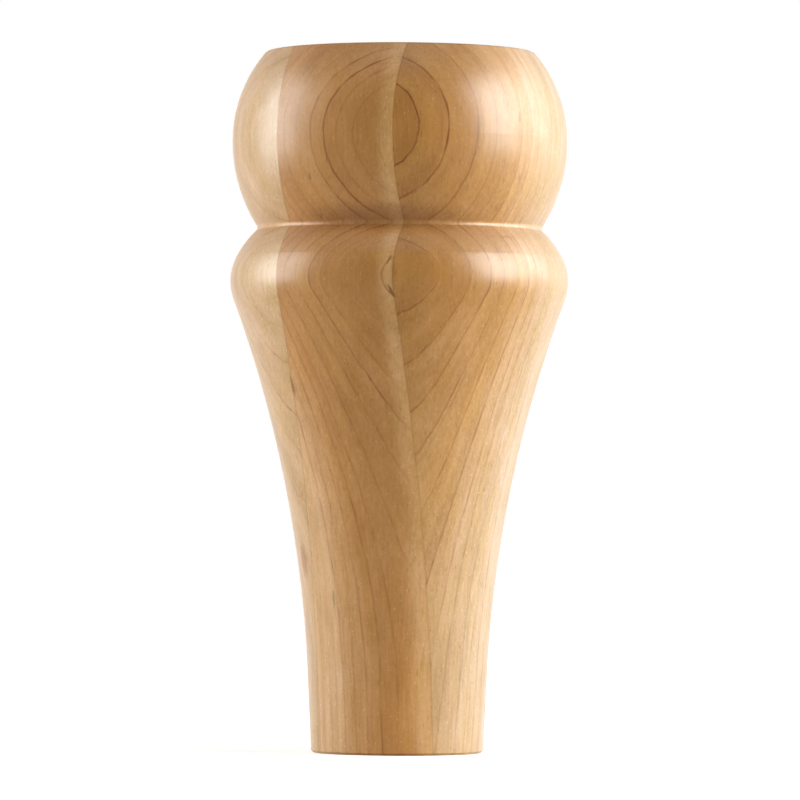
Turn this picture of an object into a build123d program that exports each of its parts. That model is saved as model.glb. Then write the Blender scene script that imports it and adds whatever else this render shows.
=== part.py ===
from build123d import *
import math
import os

# Turned wooden furniture foot, one solid piece. Millimetres, +Z up.
# The origin is the centre of the flat base that stands on the floor.
# From the top: a rounded ball with a flat top face, a sharp groove,
# a rounded shoulder, and a long hollow taper down to a narrow base.

# Lengths along the axis, stacked up from the floor
taper_length = 136.2  # base to the shoulder's lower edge
shoulder_length = 15.6  # shoulder's lower edge to the groove
ball_lower_length = 25.5  # groove to the ball's widest place
ball_upper_length = 25.9  # ball's widest place to the top face

# Diameters
base_diameter = 49.9  # before its rim is bevelled
shoulder_diameter = 99.8  # where shoulder and taper would meet if left sharp
groove_diameter = 81.8  # where shoulder and ball would meet if left sharp
ball_diameter = 97.2
top_face_diameter = 77.6  # before its rim is eased

# The ankle, where the taper's nearly straight foot runs smoothly into its hollow curve
ankle_height = 24.0
ankle_diameter = 52.1
ankle_angle = 2.9  # degrees off the axis that the side leans there

# Roundings, and the small bevel that the base's rim gets so that it doesn't splinter
shoulder_round = 29.0  # radius of the shoulder's quarter round
shoulder_edge_ease = 15.0
groove_ease = 1.3
top_rim_ease = 1.6
base_rim_bevel = 0.7

# Pilot hole for a hanger bolt, drilled down from the top face
pilot_diameter = 6.35
pilot_depth = 38.0  # full diameter, from the top face
pilot_point_angle = 118.0  # degrees, the drill's point
pilot_mouth_diameter = 8.5  # countersunk so that the wood fibres don't lift
pilot_mouth_angle = 90.0  # degrees, the countersink

# Lathe centre's mark in the base
centre_mark_diameter = 3.6
centre_mark_angle = 60.0  # degrees, the lathe centre's point

shoulder_height = taper_length
groove_height = shoulder_height + shoulder_length
ball_height = groove_height + ball_lower_length
foot_height = ball_height + ball_upper_length

base_rim = (base_diameter / 2, 0)
ankle = (ankle_diameter / 2, ankle_height)
ankle_lean = (math.sin(math.radians(ankle_angle)), math.cos(math.radians(ankle_angle)))
shoulder_edge = (shoulder_diameter / 2, shoulder_height)
groove_bottom = (groove_diameter / 2, groove_height)
ball_widest = (ball_diameter / 2, ball_height)
top_rim = (top_face_diameter / 2, foot_height)


def point_depth(diameter, included_angle):
    """Depth of a cone of that mouth and included angle."""
    return diameter / 2 / math.tan(math.radians(included_angle / 2))


with BuildPart() as foot:
    # The turned body: half of its section, spun round the axis
    with BuildSketch(Plane.XZ) as half_section:
        with BuildLine() as outline:
            Line((0, 0), base_rim)
            TangentArc(ankle, base_rim, tangent=(-ankle_lean[0], -ankle_lean[1]))
            TangentArc(ankle, shoulder_edge, tangent=ankle_lean)
            RadiusArc(shoulder_edge, groove_bottom, -shoulder_round)
            TangentArc(ball_widest, groove_bottom, tangent=(0, -1))
            TangentArc(ball_widest, top_rim, tangent=(0, 1))
            Line(top_rim, (0, foot_height))
            Line((0, foot_height), (0, 0))
        make_face()

        # The base's rim is bevelled, and each other corner is eased by its own radius
        chamfer(half_section.vertices().sort_by_distance(base_rim)[0], length=base_rim_bevel)
        eases = (
            (shoulder_edge, shoulder_edge_ease),
            (groove_bottom, groove_ease),
            (top_rim, top_rim_ease),
        )
        for corner, ease in eases:
            fillet(half_section.vertices().sort_by_distance(corner)[0], radius=ease)
    revolve(axis=Axis.Z)

    # Pilot hole with its drill point and countersunk mouth
    with Locations((0, 0, foot_height)):
        CounterSinkHole(
            radius=pilot_diameter / 2,
            counter_sink_radius=pilot_mouth_diameter / 2,
            depth=pilot_depth,
            counter_sink_angle=pilot_mouth_angle,
        )
    with Locations((0, 0, foot_height - pilot_depth)):
        Cone(
            bottom_radius=0,
            top_radius=pilot_diameter / 2,
            height=point_depth(pilot_diameter, pilot_point_angle),
            align=(Align.CENTER, Align.CENTER, Align.MAX),
            mode=Mode.SUBTRACT,
        )

    # Lathe centre's mark
    Cone(
        bottom_radius=centre_mark_diameter / 2,
        top_radius=0,
        height=point_depth(centre_mark_diameter, centre_mark_angle),
        align=(Align.CENTER, Align.CENTER, Align.MIN),
        mode=Mode.SUBTRACT,
    )

foot.part.label = "foot"

os.makedirs("parts", exist_ok=True)
export_step(foot.part, "parts/foot.step")
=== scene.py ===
import bpy
import math
from mathutils import Matrix, Vector

# A turned maple foot for furniture, in metres, standing on its narrow base at z = 0.
# The wood is worked out in the solid: three glued boards, each with its own growth rings.

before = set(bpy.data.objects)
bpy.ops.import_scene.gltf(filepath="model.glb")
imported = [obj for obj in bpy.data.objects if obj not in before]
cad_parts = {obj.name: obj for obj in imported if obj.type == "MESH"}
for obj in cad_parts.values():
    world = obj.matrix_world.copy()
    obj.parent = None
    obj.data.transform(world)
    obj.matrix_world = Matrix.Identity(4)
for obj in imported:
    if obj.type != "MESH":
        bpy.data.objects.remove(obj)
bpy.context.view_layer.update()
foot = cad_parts["foot"]
print("frame loaded")

nodeGrid = {"columns": 24, "wide": 190, "tall": 230}  # where new nodes go in their editor


class Wire:
    # one output in a node tree, so that shader maths reads as plain arithmetic
    def __init__(self, tree, socket=None):
        self.tree = tree
        self.socket = socket

    def node(self, kind, settings=None, sockets=None, output=0):
        made = self.tree.nodes.new(kind)
        row, column = divmod(len(self.tree.nodes), nodeGrid["columns"])
        made.location = (column * nodeGrid["wide"], -row * nodeGrid["tall"])
        for name, value in (settings or {}).items():
            if name == "stops":
                fillRamp(made.color_ramp, value)
            else:
                setattr(made, name, value)
        for name, value in (sockets or {}).items():
            if isinstance(value, Wire):
                self.tree.links.new(value.socket, made.inputs[name])
            else:
                made.inputs[name].default_value = value
        return Wire(self.tree, made.outputs[output] if made.outputs else None)

    def beside(self, name):
        # another output of the same node
        return Wire(self.tree, self.socket.node.outputs[name])

    def math(self, operation, *values):
        return self.node("ShaderNodeMath", {"operation": operation}, dict(enumerate(values)))

    def __add__(self, other):
        return self.math("ADD", self, other)

    def __radd__(self, other):
        return self.math("ADD", other, self)

    def __sub__(self, other):
        return self.math("SUBTRACT", self, other)

    def __rsub__(self, other):
        return self.math("SUBTRACT", other, self)

    def __mul__(self, other):
        return self.math("MULTIPLY", self, other)

    def __rmul__(self, other):
        return self.math("MULTIPLY", other, self)

    def __truediv__(self, other):
        return self.math("DIVIDE", self, other)

    def __rtruediv__(self, other):
        return self.math("DIVIDE", other, self)

    def __pow__(self, other):
        return self.math("POWER", self, other)

    def __rpow__(self, other):
        return self.math("POWER", other, self)

    def __abs__(self):
        return self.math("ABSOLUTE", self)

    def atLeast(self, other):
        return self.math("MAXIMUM", self, other)

    def atMost(self, other):
        return self.math("MINIMUM", self, other)

    def above(self, other):
        return self.math("GREATER_THAN", self, other)

    def toNearest(self, spacing):
        # distance to the nearest multiple of spacing
        return self.math("PINGPONG", self, spacing / 2)

    def ease(self, zeroAt, oneAt):
        # goes smoothly from 0 at zeroAt to 1 at oneAt, whichever of the two is the larger
        return self.node(
            "ShaderNodeMapRange",
            {"interpolation_type": "SMOOTHSTEP"},
            {"Value": self, "From Min": zeroAt, "From Max": oneAt},
        )

    def vector(self, operation, other):
        return self.node("ShaderNodeVectorMath", {"operation": operation}, {0: self, 1: other})

    def length(self):
        return self.node("ShaderNodeVectorMath", {"operation": "LENGTH"}, {0: self}, output=1)

    def split(self):
        x = self.node("ShaderNodeSeparateXYZ", None, {0: self})
        return x, x.beside("Y"), x.beside("Z")


def fillRamp(ramp, stops):
    while len(ramp.elements) < len(stops):
        ramp.elements.new(1.0)
    for element, (place, shade) in zip(ramp.elements, stops):
        element.position = place
        element.color = (*shade, 1.0)


def joined(x, y, z):
    # a vector from three values, where at least the first is a wire
    return x.node("ShaderNodeCombineXYZ", None, {0: x, 1: y, 2: z})


def mixColours(factor, first, second, how="MIX"):
    # first and second are wires, or three numbers
    source = next(item for item in (factor, first, second) if isinstance(item, Wire))
    values = [item if isinstance(item, Wire) else (*item, 1.0) for item in (first, second)]
    settings = {"data_type": "RGBA", "blend_type": how}
    return source.node("ShaderNodeMix", settings, {0: factor, 6: values[0], 7: values[1]}, output=2)


def noise(place, look):
    # from -0.5 to 0.5, in patches of the look's size in mm, and along times as long up the foot;
    # a look with an edge goes from 0 to 1 between the edge's two values instead
    sockets = {
        "Vector": place.vector("MULTIPLY", (1.0, 1.0, 1.0 / look.get("along", 1.0))),
        "Scale": 1.0 / look["size"],
        "Detail": look.get("detail", 2.0),
        "Roughness": look.get("roughness", 0.5),
    }
    made = place.node("ShaderNodeTexNoise", {"noise_dimensions": "3D"}, sockets) - 0.5
    return made.ease(*look["edge"]) if "edge" in look else made


# Depths and places in the wood are in mm, and colours are linear. A ring is where this is constant:
# depth = across*x + towards*y + up*h + bow*x*x + sag*h*h + twist*x*h, with h the height above midHeight
maple = {
    "midHeight": 130.0,
    # a glue plane is x = offset + turn*y + lean*z
    "rightGlue": {"offset": 20.31, "turn": 0.44, "lean": -0.0058},
    "leftGlue": {"offset": -17.06, "turn": 0.5, "lean": -0.0058},
    "glueWidth": 0.5,
    "glueTone": (0.86, 0.82, 0.74),
    # a pale stripe beside the right glue: where it comes in by depth, and the rings it hides
    "stripe": {"from": 1.5, "to": 6.5, "tone": (0.68, 0.388, 0.145), "share": 0.8,
               "depths": (8.0, 24.0), "hides": (46.8, 45.6)},
    "right": {
        # colour at three depths, blended in between; the depth grows towards the front of the foot
        "tones": ((6.0, (0.685, 0.475, 0.265)), (26.0, (0.625, 0.338, 0.11)), (46.0, (0.47, 0.214, 0.041))),
        "across": -0.1675, "towards": -1.0, "up": 0.0484,
        "bow": -0.00307, "sag": 0.0000624, "twist": -0.000078,
        # depth of each ring's dark edge, and how dark it is on the ball and below it
        "rings": (
            (49.6, 1.0, 0.6), (45.9, 0.9, 0.6), (40.2, 0.45, 0.6), (35.3, 0.25, 0.75), (31.4, 0.2, 0.6),
            (30.6, 0.1, 0.25), (26.7, 0.25, 0.5), (22.0, 0.3, 0.65), (18.2, 0.3, 0.5), (15.1, 0.25, 0.4),
            (10.4, 0.3, 0.4), (7.0, 0.3, 0.35),
        ),
        "spacing": 4.0,
    },
    "middle": {
        "tones": ((6.0, (0.79, 0.54, 0.29)), (26.0, (0.59, 0.287, 0.078)), (46.0, (0.52, 0.242, 0.055))),
        "across": 0.2097, "towards": -1.0, "up": -0.0300,
        "bow": 0.00245, "sag": 0.0000154, "twist": -0.00153,
        "rings": (
            (47.5, 0.0, 1.0), (45.9, 0.25, 0.1), (44.0, 0.3, 0.1), (41.9, 0.3, 0.15), (40.2, 0.85, 0.4),
            (38.1, 0.5, 0.7), (35.3, 0.2, 0.45), (32.2, 0.2, 0.4), (29.3, 0.2, 0.4), (27.1, 0.3, 0.6),
            (24.5, 0.3, 0.55), (21.9, 0.15, 0.25), (19.1, 0.3, 0.5), (16.6, 0.1, 0.2), (14.4, 0.2, 0.25),
            (11.0, 0.1, 0.2),
        ),
        "spacing": 2.7,
    },
    "left": {
        "tones": ((6.0, (0.74, 0.54, 0.38)), (30.0, (0.635, 0.34, 0.127)), (46.0, (0.695, 0.475, 0.238))),
        "across": -0.70, "towards": -0.71, "up": 0.0,
        "bow": 0.0, "sag": 0.0, "twist": 0.0,
        "rings": (
            (44.6, 0.15, 0.15), (41.2, 0.25, 0.4), (37.0, 0.3, 0.55), (34.2, 0.2, 0.3), (31.0, 0.2, 0.3),
            (27.6, 0.2, 0.25),
        ),
        "spacing": 3.4,
    },
    "ringHalfWidth": 0.46,  # measured over the surface
    "flattestRing": 0.16,  # a ring that lies flatter on the surface than this spreads out
    "ringTone": (0.52, 0.31, 0.05),
    "regularRing": 0.35,  # how dark the unlisted rings further back are
    "regularFrom": (0.5, 0.6),  # how many spacings past the last listed ring they come in
    # the rings wander in long waves and in short ones, by so many mm of depth between the extremes
    "ringWander": {"size": 14.0, "along": 3.0, "detail": 3.0, "by": 0.8},
    "ringWiggle": {"size": 3.0, "along": 3.5, "by": 0.45},
    # how unevenly the lines are drawn, about their usual strength
    "ringBreaks": {"size": 4.5, "along": 1.6, "by": 3.4, "usual": 1.05},
    "belowBall": 0.76,  # share of a line's darkness that is kept below the ball
    "ballFrom": (146.0, 156.0),  # heights between which a ring goes from one darkness to the other
    "insideTone": (0.94, 0.87, 0.80),  # just inside a ring, and just outside it
    "outsideTone": (1.05, 1.08, 1.06),
    "toneRing": 0.35,  # rings at least this dark change the tone
    "toneStep": 0.15,  # half the depth over which they change it
    "toneSpan": 52.0,  # depth each way that a board's tones cover
    # the bands follow the rings, drawn out along them: shares of x - turn*y and of the height
    "bandRun": {"turn": 0.5, "round": 0.12, "up": 0.035},
    # what makes the wood lighter or darker, and by how much
    "grain": {
        "fibre": {"size": 0.75, "along": 28.0, "detail": 3.0, "roughness": 0.6, "by": 0.36},
        "band": {"size": 2.1, "detail": 3.0, "roughness": 0.6, "withRings": True, "by": 0.40},
        "broadBand": {"size": 6.0, "withRings": True, "by": 0.34},
        "mottle": {"size": 8.0, "along": 2.0, "detail": 3.0, "by": 0.30},
        "grit": {"size": 0.8, "along": 1.4, "roughness": 0.7, "by": 0.21},
        "speck": {"size": 0.6, "along": 1.5, "detail": 1.0, "edge": (0.16, 0.24), "by": 0.20},
        "tick": {"size": 0.5, "along": 5.0, "detail": 1.0, "edge": (0.15, 0.24), "by": -0.17},
    },
    "darkest": 0.3,  # least share of its tone that the wood keeps
    "richness": {"green": 1.36, "blue": 2.6},  # how much faster than red these fall where the wood darkens
    # some patches are paler and some more golden
    "paleTint": (1.0, 1.01, 1.08),
    "goldenTint": (1.0, 0.99, 0.92),
    "tintPatch": {"size": 7.0, "along": 3.0},
    "tintBand": {"size": 4.0},
    "tintBandShift": (31.0, 17.0, 5.0),
    "tintEdge": (-0.2, 0.2),
    "endGrainTone": (0.74, 0.66, 0.54),
    "endGrainSlope": (0.3, 0.95),
    "roughness": 0.34,
    "fibreRoughness": 0.12,
    "endGrainRoughness": 0.55,
    "specular": 0.25,
    "coat": 0.25,
    "coatRoughness": 0.25,
    # small marks in the wood, and painted shade in the groove: place and half sizes, what they do to the
    # colour, and mm of lean per mm up
    "marks": {
        "mineralStreak": {"place": (-27.0, -10.2, 56.0), "half": (1.3, 4.0, 5.6), "tone": (0.76, 0.58, 0.44),
                          "lean": -0.12},
        "glueStreak": {"place": (-30.2, -25.3, 105.2), "half": (0.55, 2.5, 3.4), "tone": (0.54, 0.44, 0.30),
                       "lean": -0.25},
        "lowGlueStreak": {"place": (-18.3, -20.7, 44.8), "half": (0.35, 2.5, 3.0), "tone": (0.68, 0.64, 0.48),
                          "lean": -0.08},
        "grooveTick": {"place": (30.3, -32.5, 148.3), "half": (2.2, 2.5, 0.4), "tone": (0.80, 0.74, 0.62),
                       "lean": 0.0},
        "highTick": {"place": (34.1, -34.2, 182.4), "half": (0.3, 2.5, 1.9), "tone": (0.66, 0.64, 0.56),
                     "lean": 0.0},
        "leftTick": {"place": (-25.5, -39.4, 164.8), "half": (0.3, 2.5, 1.0), "tone": (0.60, 0.52, 0.38),
                     "lean": -0.3},
        "arcTop": {"place": (-2.9, -48.4, 141.0), "half": (0.5, 2.5, 1.7), "tone": (0.54, 0.43, 0.28),
                   "lean": 0.5},
        "arcFoot": {"place": (-2.3, -48.5, 132.2), "half": (0.55, 2.5, 2.0), "tone": (0.42, 0.31, 0.17),
                    "lean": -0.55},
        # painted shade in the middle front of the groove, where the side lamps hardly reach
        "paintedGrooveShade": {"place": (-5.0, -40.0, 153.6), "half": (27.0, 16.0, 4.2), "tone": (0.70, 0.64, 0.56),
                        "lean": 0.0},
    },
    "markRagged": {"size": 0.9, "along": 2.0, "by": 0.8},
    "markEdge": (1.2, 0.35),  # in half sizes, from clear wood to the full mark
    "relief": {"fibre": 0.8, "speck": 0.3, "ring": -0.5, "tick": -0.4},
    "bump": 0.15,
    "bumpHeight": 0.0001,  # metres
}


def ringDepth(x, y, height, board):
    flat = x * board["across"] + y * board["towards"] + height * board["up"]
    bow = x * x * board["bow"] + height * height * board["sag"]
    return flat + bow + x * height * board["twist"]


def ringSteepness(x, height, normal, board):
    # how fast the depth changes over the surface: 0 where a ring lies flat on it
    gradient = joined(
        x * (2 * board["bow"]) + height * board["twist"] + board["across"],
        board["towards"],
        height * (2 * board["sag"]) + x * board["twist"] + board["up"],
    )
    return gradient.vector("CROSS_PRODUCT", normal).length()


def ringLines(depth, steepness, onBall, board, finish):
    # the regular rings deeper than the listed ones, then each listed ring over them
    halfWidth = steepness.atLeast(finish["flattestRing"]) * finish["ringHalfWidth"]
    last = board["rings"][-1][0]
    spacing = board["spacing"]
    isRegular = depth.ease(*[last - spacing * share for share in finish["regularFrom"]])
    regular = 1.0 - (depth - last).toNearest(spacing) / halfWidth
    lines = regular.atLeast(0.0) * isRegular * finish["regularRing"]
    for place, above, below in board["rings"]:
        strength = onBall * (above - below) + below
        lines = lines.atLeast((1.0 - abs(depth - place) / halfWidth) * strength)
    return lines


def toneStops(board, finish):
    # a board's colour by depth: browner just inside a strong ring, paler just outside it
    span, step = finish["toneSpan"], finish["toneStep"]

    def toneAt(depth, change=(1.0, 1.0, 1.0)):
        tones = board["tones"]
        pair = tones[:2] if depth < tones[1][0] else tones[1:]
        (start, first), (end, second) = pair
        share = min(max((depth - start) / (end - start), 0.0), 1.0)
        blended = [low + (high - low) * share for low, high in zip(first, second)]
        return tuple(value * factor for value, factor in zip(blended, change))

    def placeOf(depth):
        return (depth + span) / (2 * span)

    stops = [(0.0, toneAt(-span))]
    for depth, above, below in reversed(board["rings"]):
        strength = (above + below) / 2
        if strength >= finish["toneRing"]:
            outside = [1 + (factor - 1) * strength for factor in finish["outsideTone"]]
            inside = [1 + (factor - 1) * strength for factor in finish["insideTone"]]
            stops.append((placeOf(depth - step), toneAt(depth, outside)))
            stops.append((placeOf(depth + step), toneAt(depth, inside)))
    return stops + [(1.0, toneAt(span))]


def glueDistance(x, y, z, glue):
    return x - (y * glue["turn"] + z * glue["lean"] + glue["offset"])


def boardWood(place, normal, finish):
    # the boards' own tones, how dark the ring lines are, the depth in the rings, and the lines of glue
    x, y, z = place.split()
    height = z - finish["midHeight"]
    fromRight = glueDistance(x, y, z, finish["rightGlue"])
    fromLeft = glueDistance(x, y, z, finish["leftGlue"])
    isRight = fromRight.above(0.0)
    isLeft = (0.0 - fromLeft).above(0.0)
    glue = abs(fromRight).atMost(abs(fromLeft)).ease(finish["glueWidth"], 0.0)

    wander, wiggle = finish["ringWander"], finish["ringWiggle"]
    drift = noise(place, wander) * wander["by"] + noise(place, wiggle) * wiggle["by"]
    onBall = z.ease(*finish["ballFrom"])
    lines, depths, tones = {}, {}, {}
    for name in ("right", "middle", "left"):
        board = finish[name]
        depths[name] = ringDepth(x, y, height, board) + drift
        steepness = ringSteepness(x, height, normal, board)
        lines[name] = ringLines(depths[name], steepness, onBall, board, finish)
        along = depths[name] * (0.5 / finish["toneSpan"]) + 0.5
        tones[name] = along.node("ShaderNodeValToRGB", {"stops": toneStops(board, finish)}, {0: along})

    stripe = finish["stripe"]
    inStripe = (0.0 - fromRight).ease(stripe["to"], stripe["from"]) * stripe["share"]
    inStripe = inStripe * depths["middle"].ease(*stripe["depths"])
    lines["middle"] = lines["middle"] * (1.0 - inStripe * depths["middle"].ease(*stripe["hides"]))
    tones["middle"] = mixColours(inStripe, tones["middle"], stripe["tone"])

    def ofItsBoard(values):
        value = values["middle"] + isRight * (values["right"] - values["middle"])
        return value + isLeft * (values["left"] - value)

    breaks = finish["ringBreaks"]
    unevenness = noise(place, breaks) * breaks["by"] + breaks["usual"]
    ring = (ofItsBoard(lines) * unevenness).atLeast(0.0).atMost(1.0)
    ring = ring * (onBall * (1.0 - finish["belowBall"]) + finish["belowBall"])
    tone = mixColours(isLeft, mixColours(isRight, tones["middle"], tones["right"]), tones["left"])
    return tone, ring, ofItsBoard(depths), glue


def woodGrain(place, depth, finish):
    # each part of the grain by its name, and what they all do to the boards' tones
    x, y, z = place.split()
    run = finish["bandRun"]
    acrossRings = joined(depth, (x - y * run["turn"]) * run["round"], z * run["up"])
    grain, light = {}, 1.0
    for name, look in finish["grain"].items():
        grain[name] = noise(acrossRings if look.get("withRings") else place, look)
        light = light + grain[name] * look["by"]
    light = light.atLeast(finish["darkest"])
    richness = finish["richness"]
    shade = joined(light, light ** richness["green"], light ** richness["blue"])

    patch = noise(place, finish["tintPatch"])
    patch = patch + noise(acrossRings.vector("ADD", finish["tintBandShift"]), finish["tintBand"])
    tint = mixColours(patch.ease(*finish["tintEdge"]), finish["paleTint"], finish["goldenTint"])
    return grain, mixColours(1.0, shade, tint, "MULTIPLY")


def addMarks(colour, place, finish):
    ragged = noise(place, finish["markRagged"]) * finish["markRagged"]["by"]
    # all but the groove's entry are marks in the wood; that one is painted shade
    for mark in finish["marks"].values():
        x, y, z = place.vector("SUBTRACT", mark["place"]).split()
        away = joined(x - z * mark["lean"], y, z).vector("DIVIDE", mark["half"]).length()
        inside = (away + ragged).ease(*finish["markEdge"])
        colour = mixColours(inside, colour, mark["tone"], "MULTIPLY")
    return colour


def makeMaple(finish):
    material = bpy.data.materials.new("turnedMaple")
    material.use_nodes = True
    material.node_tree.nodes.clear()
    start = Wire(material.node_tree)
    metres = start.node("ShaderNodeTexCoord").beside("Object")
    place = metres.vector("MULTIPLY", (1000.0, 1000.0, 1000.0))  # in mm
    normal = start.node("ShaderNodeNewGeometry").beside("Normal")

    tone, ring, depth, glue = boardWood(place, normal, finish)
    grain, shade = woodGrain(place, depth, finish)
    colour = mixColours(1.0, tone, shade, "MULTIPLY")

    # the ends of the fibres, where the surface cuts across them, then ring lines, glue, and the marks, one of
    # which is painted shade in the groove
    endGrain = abs(normal.split()[2]).ease(*finish["endGrainSlope"])
    colour = mixColours(endGrain, colour, finish["endGrainTone"], "MULTIPLY")
    colour = mixColours(ring, colour, finish["ringTone"], "MULTIPLY")
    colour = mixColours(glue, colour, finish["glueTone"], "MULTIPLY")
    colour = addMarks(colour, place, finish)

    rough = grain["fibre"] * finish["fibreRoughness"] + finish["roughness"]
    rough = rough + endGrain * (finish["endGrainRoughness"] - finish["roughness"])
    raised = {**grain, "ring": ring}
    relief = sum(raised[name] * by for name, by in finish["relief"].items())
    sockets = {"Strength": finish["bump"], "Distance": finish["bumpHeight"], "Height": relief}
    surface = colour.node(
        "ShaderNodeBsdfPrincipled",
        None,
        {
            "Base Color": colour,
            "Roughness": rough,
            "Normal": relief.node("ShaderNodeBump", None, sockets),
            "Specular IOR Level": finish["specular"],
            "Coat Weight": finish["coat"],
            "Coat Roughness": finish["coatRoughness"],
        },
    )
    surface.node("ShaderNodeOutputMaterial", None, {"Surface": surface})
    print("maple made,", len(material.node_tree.nodes), "nodes")
    return material


foot.material_slots[0].material = makeMaple(maple)


studio = {
    "floorSize": 8.0,
    "floorColour": (0.85, 0.85, 0.85),
    # added for what sees the floor directly: weak near the foot, so that its shadow shows, strong far off
    "floorGlow": {"near": 0.55, "far": 0.88, "from": 0.35, "to": 1.4},
    "fill": 0.18,
    # side: degrees round from the camera towards +X; shine: power seen in reflections alone;
    # the rest in metres and watts
    "boxes": {
        "rightBox": {"side": 73.0, "reach": 1.06, "level": 0.52, "wide": 0.62, "tall": 0.90,
                     "power": 10.6, "shine": 25.0},
        "rightRearBox": {"side": 106.0, "reach": 1.06, "level": 0.50, "wide": 0.60, "tall": 0.90,
                         "power": 3.8, "shine": 26.0},
        "leftBox": {"side": -90.0, "reach": 1.06, "level": 0.46, "wide": 0.74, "tall": 0.90,
                    "power": 8.4, "shine": 17.0},
        "topBox": {"side": 0.0, "reach": 0.30, "level": 1.25, "wide": 0.80, "tall": 0.60,
                   "power": 0.7, "shine": 4.0},
    },
    "aim": (0.0, 0.0, 0.13),
}


def seenDirectly(wire):
    # 1 for camera, glossy and transmission rays, so that a gloss shows the white background too
    camera = wire.node("ShaderNodeLightPath").beside("Is Camera Ray")
    return camera.atLeast(camera.beside("Is Glossy Ray")).atLeast(camera.beside("Is Transmission Ray"))


def turnTo(thing, target, roll=0.0):
    facing = (Vector(target) - thing.location).to_track_quat("-Z", "Y").to_matrix()
    thing.rotation_euler = (facing @ Matrix.Rotation(roll, 3, "Z")).to_euler()


def makeFloor(setup):
    half = setup["floorSize"] / 2
    mesh = bpy.data.meshes.new("floor")
    corners = [(-half, -half, 0.0), (half, -half, 0.0), (half, half, 0.0), (-half, half, 0.0)]
    mesh.from_pydata(corners, [], [(0, 1, 2, 3)])
    floor = bpy.data.objects.new("floor", mesh)
    bpy.context.scene.collection.objects.link(floor)
    material = bpy.data.materials.new("paleFloor")
    material.use_nodes = True
    material.node_tree.nodes.clear()
    start = Wire(material.node_tree)
    glow = setup["floorGlow"]
    away = start.node("ShaderNodeTexCoord").beside("Object").length()
    added = away.ease(glow["from"], glow["to"]) * (glow["far"] - glow["near"]) + glow["near"]
    added = added * seenDirectly(start)
    paper = start.node("ShaderNodeBsdfDiffuse", None, {"Color": (*setup["floorColour"], 1.0)})
    white = start.node("ShaderNodeEmission", None, {"Color": joined(added, added, added)})
    both = start.node("ShaderNodeAddShader", None, {0: paper, 1: white})
    start.node("ShaderNodeOutputMaterial", None, {"Surface": both})
    mesh.materials.append(material)


def makeLight(setup):
    for name, box in setup["boxes"].items():
        for kind in ("power", "shine"):
            lamp = bpy.data.lights.new(name + kind.title(), "AREA")
            lamp.shape = "RECTANGLE"
            lamp.size = box["wide"]
            lamp.size_y = box["tall"]
            lamp.energy = box[kind]
            holder = bpy.data.objects.new(lamp.name, lamp)
            holder.visible_diffuse = kind == "power"  # the other is seen in reflections alone
            side = math.radians(box["side"])
            holder.location = (math.sin(side) * box["reach"], -math.cos(side) * box["reach"], box["level"])
            turnTo(holder, setup["aim"])
            bpy.context.scene.collection.objects.link(holder)
    world = bpy.data.worlds.new("studioWorld")
    world.use_nodes = True
    world.node_tree.nodes.clear()
    start = Wire(world.node_tree)
    strength = seenDirectly(start) * (1.0 - setup["fill"]) + setup["fill"]
    sky = start.node("ShaderNodeBackground", None, {"Color": (1.0, 1.0, 1.0, 1.0), "Strength": strength})
    start.node("ShaderNodeOutputWorld", None, {"Surface": sky})
    bpy.context.scene.world = world


makeFloor(studio)
makeLight(studio)
print("studio made")


lens = {
    "distance": 1.7204,
    "eyeHeight": 0.0697,
    "targetHeight": 0.1022,
    "targetX": 0.0004,
    "roll": 0.28,  # degrees
    "focal": 266.8,
    "sensor": 36.0,
    "nearest": 0.05,
    "farthest": 50.0,
}


def makeCamera(setup):
    data = bpy.data.cameras.new("camera")
    data.lens = setup["focal"]
    data.sensor_width = setup["sensor"]
    data.clip_start = setup["nearest"]
    data.clip_end = setup["farthest"]
    camera = bpy.data.objects.new("camera", data)
    camera.location = (setup["targetX"], -setup["distance"], setup["eyeHeight"])
    turnTo(camera, (setup["targetX"], 0.0, setup["targetHeight"]), math.radians(setup["roll"]))
    bpy.context.scene.collection.objects.link(camera)
    bpy.context.scene.camera = camera


makeCamera(lens)
bpy.context.scene.view_settings.view_transform = "Standard"

print("scene ready")
